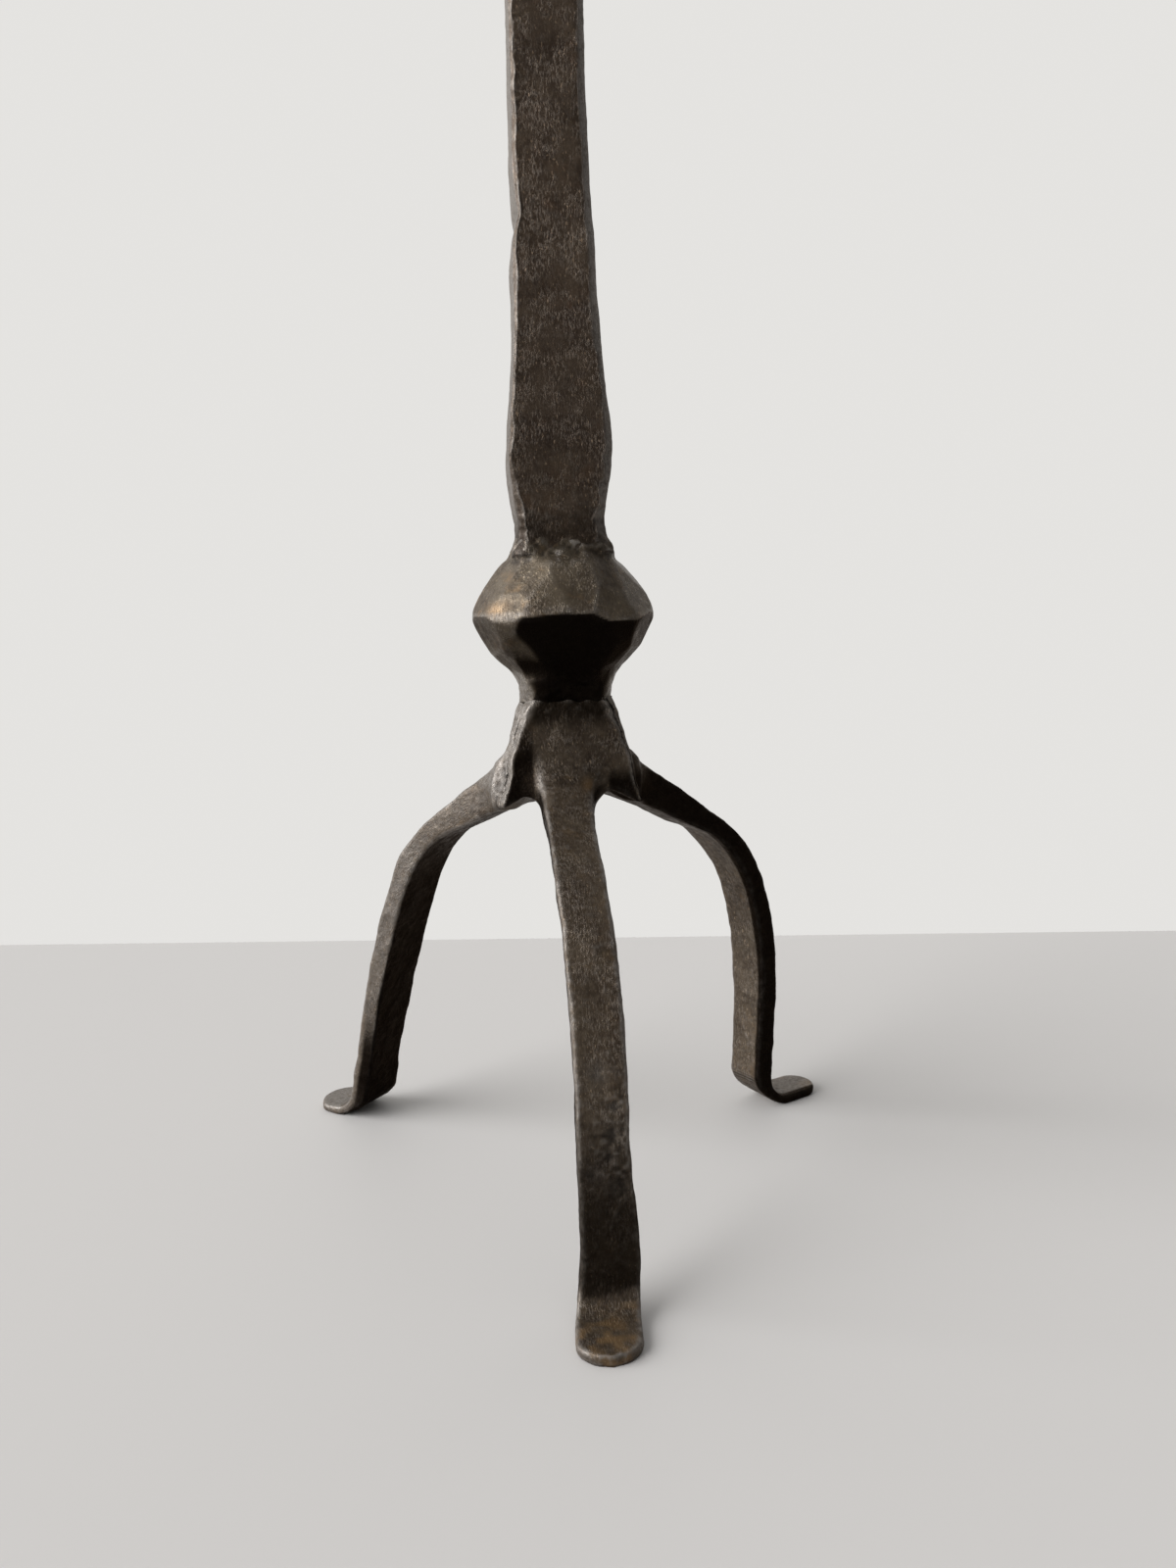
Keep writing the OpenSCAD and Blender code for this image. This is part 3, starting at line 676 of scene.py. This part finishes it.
def make_leg(name, material):
    leg = Leg(LEGS[name])
    out = np.arange(0, leg.out[-1] + 3 * LEG_GRID, LEG_GRID)
    side = np.arange(-22, 22, LEG_GRID)
    z = np.arange(-2 * LEG_GRID, CROWN_Z + 3 * LEG_GRID, LEG_GRID)
    flat_out, flat_z = np.meshgrid(out, z, indexing="ij")
    place, deep = leg.near(flat_out, flat_z)
    field = [leg.distance(flat_out, one, flat_z, place, deep) for one in side]
    points, faces = nets(np.stack(field, 1), np.array([out[0], side[0], z[0]]), LEG_GRID)
    points = leg.settled(points)
    place, deep = leg.near(points[:, 0], points[:, 2])
    grain = np.stack([points[:, 1], deep, -place], 1)
    turn = math.radians(leg.leg["angle"])
    x = points[:, 0] * math.cos(turn) - points[:, 1] * math.sin(turn)
    y = points[:, 0] * math.sin(turn) + points[:, 1] * math.cos(turn)
    own, points = points, np.stack([x, y, points[:, 2]], 1)
    thick = np.interp(place, leg.place, leg.thick)
    foot = 1 - smooth(FOOT_T, FOOT_T * 1.3, thick)
    dent = skin_noise(points, 0.16, 0.06) * (1 - 0.6 * foot)
    dent += planished(points, strikes(points, 170, int(leg.leg["angle"]) + 500), 6, 0.28) * (1 - 0.7 * foot)
    dent += smooth(CROWN_Z - 9, CROWN_Z - 2, points[:, 2]) * 0.3 * noise(points, 2.4, 63)
    dent = np.where((own[:, 2] < 0.4) | (own[:, 2] > CROWN_Z - 0.2), 0, dent)
    # Painted shade and painted highlight, laid by place on each leg
    soot = leg_painted_shade(name, own, place, deep, np.interp(place, leg.place, leg.slope))
    rubbed = leg_painted_highlight(name, own, place, deep / thick)
    tone = smooth(-0.1, 0.7, noise(points, 6, 67) + 0.7 * noise(points, 1.8, 76)) * foot * 0.8
    if name == "front":
        tone = np.maximum(tone, 0.8 * mark(own, 3.8, 106.6, 1.5, 1.5))
        for side, height, size, depth in FRONT_DENTS:
            dent -= depth * mark(own, side, height, size, size)
        rough = np.exp(-((own[:, 2] - 36) / 12) ** 2) * smooth(-4, 2, own[:, 1]) * smooth(5.4, 4, own[:, 1])
        dent += rough * (0.4 * noise(points, 1.9, 78) + 0.25 * noise(points, 1.0, 79))
    piece = make_piece(f"{name}_leg", f"leg_{name}", (points, faces, []), dent, grain, material,
                       tone=tone, soot=soot, rubbed=rubbed)
    flat_base(piece)
    return piece


# Deeper dents low on the front leg: side, height, size and depth
FRONT_DENTS = [(2.8, 45, 1.4, 0.5), (2, 39, 1.9, 0.9), (1.2, 34.5, 1.5, 0.8), (3, 28, 2.2, 0.8),
               (-2.4, 31, 1.8, 0.5), (-1, 52, 2.2, 0.4)]


def mark(own, side, height, wide, tall):
    """A soft round mark on a leg, from 0 to 1."""
    return np.exp(-((own[:, 1] - side) / wide) ** 2 - ((own[:, 2] - height) / tall) ** 2)


def past_arris(own, way):
    """Share of the corner facet that lies past the palm's right (1) or left (-1) arris."""
    reach = 0.9 + 1.6 * smooth(119, 124, own[:, 2])
    return smooth(-reach, 0.2, way * own[:, 1] - curve(PALM_HALF, own[:, 2]))


def leg_painted_shade(name, own, place, deep, slope):
    """Painted shade on a leg: inner faces, the crown's corners and the top of the front palm, the front leg's low
    shank and the right leg's flank.
    """
    on_arm = smooth(12, 26, place)
    inner = smooth(0.3, 0.6, deep / 5) * on_arm
    if name == "front":
        low = smooth(100, 132, place + 5 * noise(own, 7, 75)) * smooth(46, 70, slope + 9 * noise(own, 2.6, 77))
        right_corner = smooth(8.6, 10, own[:, 1]) * (1 - smooth(106, 113, own[:, 2]))
        left_corner = smooth(8.6, 10, -own[:, 1]) * (1 - 0.5 * smooth(112, 122, own[:, 2]))
        corner = np.maximum(right_corner, left_corner)
        palm = (0.25 + 0.6 * smooth(118, 124, own[:, 2])) * smooth(104, 110, own[:, 2]) * (own[:, 0] < 16)
        soot = np.clip(np.maximum(0.8 * low + 0.9 * inner, np.maximum(0.95 * corner, palm)), 0, 0.97)
        return soot * (1 - past_arris(own, -1)) * (1 - 0.8 * past_arris(own, 1))
    if name == "left":
        return inner * (1 - smooth(7.2, 7.9, own[:, 1]))
    flank = smooth(-3.9, -4.9, own[:, 1]) * smooth(8, 16, place) * (1 - 0.7 * smooth(106, 114, own[:, 2]))
    return 0.97 * np.maximum(flank, inner * (1 - smooth(30, 60, place)))


def leg_painted_highlight(name, own, place, through):
    """Painted highlight on a leg: the crown's corners, the left one most, and the arm that grows out of it, a streak
    and the dents on the front leg, and the tops of the feet.
    """
    if name == "front":
        corners = 0.9 * past_arris(own, -1) + 0.4 * past_arris(own, 1) * smooth(104, 110, own[:, 2])
        streak = mark(own, -7.9, 107.5, 0.9, 4.5)
        dents = sum(0.3 * mark(own, side, height, size, size) for side, height, size, _ in FRONT_DENTS)
        return np.maximum(corners * smooth(99, 102, own[:, 2]), (0.9 * streak + dents) * (through < 0.4))
    on_foot = smooth(FOOT_T * 1.3, FOOT_T, own[:, 2]) * smooth(0.4, 0.2, through)
    if name == "left":
        low_side = smooth(0.6, 0.9, through) * smooth(16, 24, place) * (1 - smooth(50, 60, place))
        near = smooth(6.5, 8.5, own[:, 1]) * (1 - 0.9 * low_side)
        strength = 0.95 - 0.65 * smooth(18, 32, place) + 0.2 * smooth(50, 66, place)
        return np.maximum(near * strength, on_foot)
    return 0.7 * on_foot


def flat_base(piece):
    """Nothing on a foot is lower than the surface that it rests on."""
    for vertex in piece.data.vertices:
        vertex.co.z = max(vertex.co.z, 0)


# The round pieces on the top tenon

def lathe(profile, sides):
    """A closed profile of (distance, height) points turned round the axis."""
    profile = np.array(profile, float)
    angle = np.linspace(0, 2 * math.pi, sides, endpoint=False)[None, :]
    ones = np.ones_like(angle)
    return ringed(profile[:, 1:2] * ones, angle * np.ones((len(profile), 1)), profile[:, 0:1] * ones)


def filled(points, step):
    """A closed outline with points added at even steps between its corners."""
    result = []
    for here, after in zip(points, points[1:] + points[:1]):
        count = max(1, round(math.dist(here, after) / step))
        for i in range(count):
            result.append([here[k] + (after[k] - here[k]) * i / count for k in range(2)])
    return result


def make_collar(material):
    belly = (PAN_Z - COLLAR_Z) * 0.35
    hole = TOP_TENON_R + 0.05
    outline = [(hole, COLLAR_Z), (COLLAR_R - belly, COLLAR_Z), (COLLAR_R - belly * 0.35, COLLAR_Z + belly * 0.35),
               (COLLAR_R, COLLAR_Z + belly), (COLLAR_R, PAN_Z - belly),
               (COLLAR_R - belly * 0.35, PAN_Z - belly * 0.35), (COLLAR_R - belly, PAN_Z), (hole, PAN_Z)]
    grid = lathe(filled(outline, 0.7), 120)
    outside = (np.hypot(grid[..., 0], grid[..., 1]) > COLLAR_R - belly - 0.1).astype(float)
    dent = outside * (skin_noise(grid, 0.1, 0.03) + planished(grid, strikes(grid, 60, 71), 5, 0.3))
    dent = np.minimum(dent, 0)
    return make_piece("stem_collar", "pan_collar", rings_shape(grid, wrap=True), dent, grid,
                      material)


PAN_T = 2
PAN_FLOOR_SHARE = 0.64


def make_pan(material):
    rise = high("drip_pan") - PAN_Z
    floor_r = PAN_R * PAN_FLOOR_SHARE
    hole = TOP_TENON_R + 0.05

    def wall(r, start, lift):
        return [(start + (r - start) * math.sin(a), PAN_Z + lift + (rise - PAN_T) * (1 - math.cos(a)))
                for a in np.radians(np.linspace(0, 90, 16))]

    under = [(hole, PAN_Z)] + wall(PAN_R, floor_r, 0)
    rim = [(PAN_R - PAN_T * 0.15, PAN_Z + rise - PAN_T * 0.3), (PAN_R - PAN_T * 0.5, PAN_Z + rise)]
    over = wall(PAN_R - PAN_T, floor_r - PAN_T / 3, PAN_T)[::-1] + [(hole, PAN_Z + PAN_T)]
    grid = lathe(filled(under + rim + over, 0.9), 240)
    away = smooth(COLLAR_R + 1, COLLAR_R + 5, np.hypot(grid[..., 0], grid[..., 1]))
    centres = strikes(grid, 260, 81)
    dent = away * planished(grid, centres, 7, 0.22) + away * skin_noise(grid, 0.1, 0.02)
    dent = np.minimum(dent, 0)
    wave = 0.35 * wobble(np.arctan2(grid[..., 1], grid[..., 0]) * 6 + 40, 4, 83)
    grid[..., 2] += np.minimum(wave - 0.35, 0) * smooth(PAN_R * 0.8, PAN_R, np.hypot(grid[..., 0], grid[..., 1]))
    return make_piece("hammered_pan", "drip_pan", rings_shape(grid, wrap=True), dent, grid,
                      material)


SOCKET_WALL = 1.8
SOCKET_FLOOR = 3
RECESS_R = TOP_TENON_R + HEAD_OVER + 0.3


def make_socket(material):
    wall_r = BORE_R + SOCKET_WALL
    ledge = TOP_Z - BORE_LEN
    hole = TOP_TENON_R + 0.05
    lip = (LIP_R - wall_r) * 1.5
    outline = [(hole, SOCKET_Z), (wall_r - 1, SOCKET_Z), (wall_r - 0.3, SOCKET_Z + 0.3), (wall_r, SOCKET_Z + 1),
               (wall_r, TOP_Z - 2 * lip), (LIP_R, TOP_Z - lip), (LIP_R, TOP_Z - 0.7), (LIP_R - 0.2, TOP_Z - 0.2),
               (LIP_R - 0.7, TOP_Z), (BORE_R, TOP_Z), (BORE_R, ledge), (RECESS_R, ledge),
               (RECESS_R, SOCKET_Z + SOCKET_FLOOR), (hole, SOCKET_Z + SOCKET_FLOOR)]
    grid = lathe(filled(outline, 0.7), 160)
    outside = smooth(BORE_R + 0.3, BORE_R + 0.9, np.hypot(grid[..., 0], grid[..., 1]))
    outside = outside * smooth(SOCKET_Z, SOCKET_Z + 1, grid[..., 2])
    dent = outside * (planished(grid, strikes(grid, 120, 91), 6, 0.3) + skin_noise(grid, 0.1, 0.03))
    dent = np.minimum(dent, 0)
    return make_piece("forged_socket", "candle_socket", rings_shape(grid, wrap=True), dent, grid,
                      material)


# Materials

def add(tree, kind, inputs=None, **settings):
    """One shader node, with its settings and inputs given as values or sockets."""
    made = tree.nodes.new(kind)
    for key, value in settings.items():
        setattr(made, key, value)
    for key, value in (inputs or {}).items():
        if isinstance(value, bpy.types.NodeSocket):
            tree.links.new(value, made.inputs[key])
        else:
            made.inputs[key].default_value = value
    return made


def mixed(tree, factor, first, second):
    made = add(tree, "ShaderNodeMix", {"Factor": factor}, data_type="RGBA")
    for socket, value in ((made.inputs[6], first), (made.inputs[7], second)):
        if isinstance(value, bpy.types.NodeSocket):
            tree.links.new(value, socket)
        else:
            socket.default_value = (*value, 1)
    return made.outputs[2]


def spots(tree, vector, scale, detail, start, end, low_end=0.0, high_end=1.0):
    """Noise cut to the range from start to end."""
    made = add(tree, "ShaderNodeTexNoise", {"Vector": vector, "Scale": scale, "Detail": detail, "Roughness": 0.6})
    return ranged(tree, made.outputs["Fac"], start, end, low_end, high_end)


def ranged(tree, value, start, end, low_end=0.0, high_end=1.0):
    made = add(tree, "ShaderNodeMapRange", {"Value": value, "From Min": start, "From Max": end,
                                            "To Min": low_end, "To Max": high_end},
               interpolation_type="SMOOTHSTEP")
    return made.outputs["Result"]


def math_node(tree, operation, first, second):
    made = add(tree, "ShaderNodeMath", {0: first, 1: second}, operation=operation, use_clamp=True)
    return made.outputs[0]


FLECK = (0.165, 0.138, 0.112)
# Bare iron: the colour of worn edges and of painted highlights
WORN_AND_HIGHLIGHT_IRON = (0.225, 0.207, 0.188)
DEEP_DIRT = (0.010, 0.008, 0.006)
# Near-black of painted shade
SHADE_BLACK = (0.0030, 0.0019, 0.0014)
DULL_EDGE = (0.62, 0.58, 0.55)


def make_iron(name, dark, light, warm, warm_amount, rough, marks=1.0):
    """Blackened iron: uneven scale, fine drawn-out scratches, worn corners and rusty patches, with painted shade in
    near-black and painted highlights in bare-iron colour, both laid on from the mesh's layers.
    """
    material = bpy.data.materials.new(name)
    material.use_nodes = True
    tree = material.node_tree
    shader = tree.nodes["Principled BSDF"]
    shader.inputs["Specular Tint"].default_value = (*DULL_EDGE, 1)
    grain = add(tree, "ShaderNodeAttribute", attribute_name="grain").outputs["Vector"]
    wear, hollow, tone, soot, highlight_layer = (add(tree, "ShaderNodeAttribute", attribute_name=layer).outputs["Fac"]
                                     for layer in ("wear", "hollow", "tone", "soot", "rubbed"))
    drawn = add(tree, "ShaderNodeMapping", {"Vector": grain, "Scale": (1, 1, 0.4)}).outputs["Vector"]
    broad = spots(tree, grain, 0.11, 4, 0.32, 0.7)
    mottle = spots(tree, grain, 0.55, 8, 0.34, 0.72)
    rough_patch = spots(tree, grain, 0.16, 3, 0.38, 0.62, 0.25, 1.0)
    grit = math_node(tree, "MULTIPLY", spots(tree, drawn, 2.1, 5, 0.44, 0.68), rough_patch)
    speck = math_node(tree, "MULTIPLY", spots(tree, grain, 3.2, 3, 0.46, 0.66), rough_patch)
    scratch = spots(tree, drawn, 1.9, 2, 0.64, 0.71)
    rusty = spots(tree, grain, 0.2, 5, 0.54, 0.74, 0, warm_amount)
    rusty = math_node(tree, "MAXIMUM", rusty, tone)
    pitted = spots(tree, grain, 1.5, 2, 0.66, 0.76)
    colour = mixed(tree, broad, dark, light)
    colour = mixed(tree, math_node(tree, "MULTIPLY", mottle, 0.5), colour, tuple(c * 1.5 for c in light))
    colour = mixed(tree, math_node(tree, "MULTIPLY", grit, 0.65 * marks), colour, FLECK)
    colour = mixed(tree, math_node(tree, "MULTIPLY", speck, 0.65 * marks), colour, tuple(c * 0.4 for c in dark))
    colour = mixed(tree, rusty, colour, warm)
    colour = mixed(tree, math_node(tree, "MULTIPLY", scratch, 0.7 * marks), colour, tuple(c * 3.5 for c in light))
    colour = mixed(tree, math_node(tree, "MULTIPLY", pitted, 0.6 * marks), colour, DEEP_DIRT)
    # Painted shade: near-black where the mesh's shade layer is high
    colour = mixed(tree, math_node(tree, "MULTIPLY", soot, 0.985), colour, SHADE_BLACK)
    unshaded = math_node(tree, "SUBTRACT", 1, math_node(tree, "MULTIPLY", soot, 0.97))
    # Worn edges are bare iron; painted highlights put bare-iron patches where light falls
    edges = math_node(tree, "MULTIPLY", wear, spots(tree, grain, 0.35, 3, 0.35, 0.6, 0.15, 0.7))
    highlight_spots = math_node(tree, "MULTIPLY", highlight_layer, spots(tree, grain, 0.9, 7, 0.30, 0.62, 0.35, 1.0))
    wear_and_highlight = math_node(tree, "MULTIPLY", math_node(tree, "MAXIMUM", edges, highlight_spots), unshaded)
    colour = mixed(tree, wear_and_highlight, colour, WORN_AND_HIGHLIGHT_IRON)
    colour = mixed(tree, math_node(tree, "MULTIPLY", hollow, 0.7), colour, DEEP_DIRT)
    tree.links.new(colour, shader.inputs["Base Color"])
    roughness = ranged(tree, mottle, 0, 1, rough + 0.10, rough - 0.06)
    roughness = math_node(tree, "SUBTRACT", roughness, math_node(tree, "MULTIPLY", wear_and_highlight, 0.12))
    tree.links.new(roughness, shader.inputs["Roughness"])
    # Painted shade also turns fully metallic with its near-black colour, so it reflects little
    metallic = ranged(tree, soot, 0, 1, 0.45, 1.0)
    tree.links.new(metallic, shader.inputs["Metallic"])
    bump_height = math_node(tree, "ADD", math_node(tree, "MULTIPLY", mottle, 0.3),
                            math_node(tree, "MULTIPLY", grit, 0.5 * marks))
    bump_height = math_node(tree, "ADD", bump_height, 0.2)
    bump_height = math_node(tree, "SUBTRACT", bump_height, math_node(tree, "MULTIPLY", pitted, 0.2))
    bump = add(tree, "ShaderNodeBump", {"Height": bump_height, "Strength": 0.8, "Distance": 0.00022})
    tree.links.new(bump.outputs["Normal"], shader.inputs["Normal"])
    return material


# Stage, light and camera

FLOOR_COLOUR = (0.60, 0.585, 0.565)
FLOOR_BOUNCE = (0.12, 0.10, 0.09)
BACK_COLOUR = (0.78, 0.77, 0.75)
FRONT_COLOUR = (0.33, 0.325, 0.32)
FLOOR_SIZE = 6.0
FLOOR_BACK = 0.229
FLOOR_TURN = math.radians(-9)
ROOM_LIGHT = (0.07, 0.065, 0.06)
CEILING_LIGHT = (0.40, 0.40, 0.41)
WALL_LIGHT = (0.70, 0.69, 0.67)
WINDOW_LIGHT = (7.0, 7.0, 7.1)
WINDOW_PLACE = (-0.95, -0.20, 0.36)


def make_floor():
    half = FLOOR_SIZE / 2
    mesh = bpy.data.meshes.new("floor")
    mesh.from_pydata([(-half, -half, 0), (half, -half, 0), (half, FLOOR_BACK, 0), (-half, FLOOR_BACK, 0)], [],
                     [(0, 1, 2, 3)])
    floor = bpy.data.objects.new("floor", mesh)
    floor.rotation_euler.z = FLOOR_TURN
    bpy.context.scene.collection.objects.link(floor)
    material = bpy.data.materials.new("plain_floor")
    material.use_nodes = True
    tree = material.node_tree
    shader = tree.nodes["Principled BSDF"]
    rays = add(tree, "ShaderNodeLightPath")
    colour = mixed(tree, rays.outputs["Is Diffuse Ray"], FLOOR_COLOUR, FLOOR_BOUNCE)
    tree.links.new(colour, shader.inputs["Base Color"])
    shader.inputs["Roughness"].default_value = 0.6
    mesh.materials.append(material)


def facing(tree, direction, target, start, end):
    """How far a direction points towards a target, cut to the range from start to end."""
    dot = add(tree, "ShaderNodeVectorMath", {0: direction, 1: Vector(target).normalized()}, operation="DOT_PRODUCT")
    return ranged(tree, dot.outputs["Value"], start, end)


def make_world():
    """A pale backdrop, and a room that is lit by a soft window on the left."""
    world = bpy.data.worlds.new("studio")
    bpy.context.scene.world = world
    world.use_nodes = True
    tree = world.node_tree
    background = tree.nodes["Background"]
    rays = add(tree, "ShaderNodeLightPath").outputs
    direction = add(tree, "ShaderNodeTexCoord").outputs["Generated"]
    behind = facing(tree, direction, (-0.25, 1, 0), 0.0, 0.55)
    room = mixed(tree, facing(tree, direction, (0, 0, 1), 0.1, 0.9), ROOM_LIGHT, CEILING_LIGHT)
    room = mixed(tree, behind, room, WALL_LIGHT)
    backdrop = mixed(tree, behind, FRONT_COLOUR, BACK_COLOUR)
    sees = math_node(tree, "MAXIMUM", rays["Is Camera Ray"], rays["Is Glossy Ray"])
    sees = math_node(tree, "MAXIMUM", sees, rays["Is Transmission Ray"])
    colour = mixed(tree, sees, room, backdrop)
    window = facing(tree, direction, WINDOW_PLACE, 0.80, 0.93)
    unseen = math_node(tree, "SUBTRACT", window, rays["Is Camera Ray"])
    colour = mixed(tree, unseen, colour, WINDOW_LIGHT)
    tree.links.new(colour, background.inputs["Color"])


CAMERA_DISTANCE = 290.5
CAMERA_HEIGHT = 148.8
CAMERA_PITCH = math.radians(8.685)
CAMERA_ROLL = math.radians(-1.764)
CAMERA_YAW = math.radians(0.996)
OBJECT_TURN = math.radians(-4.3)
FOCAL_PIXELS = 1151.7
PHOTO_HEIGHT = 1600
SENSOR = 36


def make_camera():
    data = bpy.data.cameras.new("photo_camera")
    data.sensor_width = SENSOR
    data.lens = FOCAL_PIXELS / PHOTO_HEIGHT * SENSOR
    data.clip_start = 0.01
    forward = Vector((math.sin(CAMERA_YAW) * math.cos(CAMERA_PITCH),
                      math.cos(CAMERA_YAW) * math.cos(CAMERA_PITCH), -math.sin(CAMERA_PITCH)))
    right = Vector((math.cos(CAMERA_YAW), -math.sin(CAMERA_YAW), 0))
    up = right.cross(forward)
    rolled_right = right * math.cos(CAMERA_ROLL) + up * math.sin(CAMERA_ROLL)
    rolled_up = up * math.cos(CAMERA_ROLL) - right * math.sin(CAMERA_ROLL)
    facing = Matrix((rolled_right, rolled_up, -forward)).transposed().to_4x4()
    place = Matrix.Translation(Vector((0, -CAMERA_DISTANCE, CAMERA_HEIGHT)) * MM)
    onto_axis = Matrix.Translation(Vector(AXIS) * MM)
    camera = bpy.data.objects.new("photo_camera", data)
    camera.matrix_world = onto_axis @ Matrix.Rotation(OBJECT_TURN, 4, "Z") @ place @ facing
    bpy.context.scene.collection.objects.link(camera)
    bpy.context.scene.camera = camera


bar_iron = make_iron("bar_iron", (0.028, 0.017, 0.010), (0.076, 0.054, 0.036), (0.090, 0.046, 0.022), 0.3, 0.40)
knop_iron = make_iron("knop_iron", (0.045, 0.032, 0.021), (0.120, 0.095, 0.064), (0.30, 0.18, 0.08), 0.35, 0.31, 0.8)
leg_iron = make_iron("leg_iron", (0.030, 0.019, 0.011), (0.074, 0.055, 0.036), (0.17, 0.105, 0.048), 0.25, 0.40)
pan_iron = make_iron("pan_iron", (0.032, 0.023, 0.016), (0.070, 0.055, 0.040), (0.11, 0.062, 0.032), 0.3, 0.40, 0.6)

make_stem(bar_iron)
make_knop(knop_iron)
for side in LEGS:
    make_leg(side, leg_iron)
make_collar(knop_iron)
make_pan(pan_iron)
make_socket(pan_iron)

make_floor()
make_world()
make_camera()
bpy.context.scene.view_settings.view_transform = "Standard"
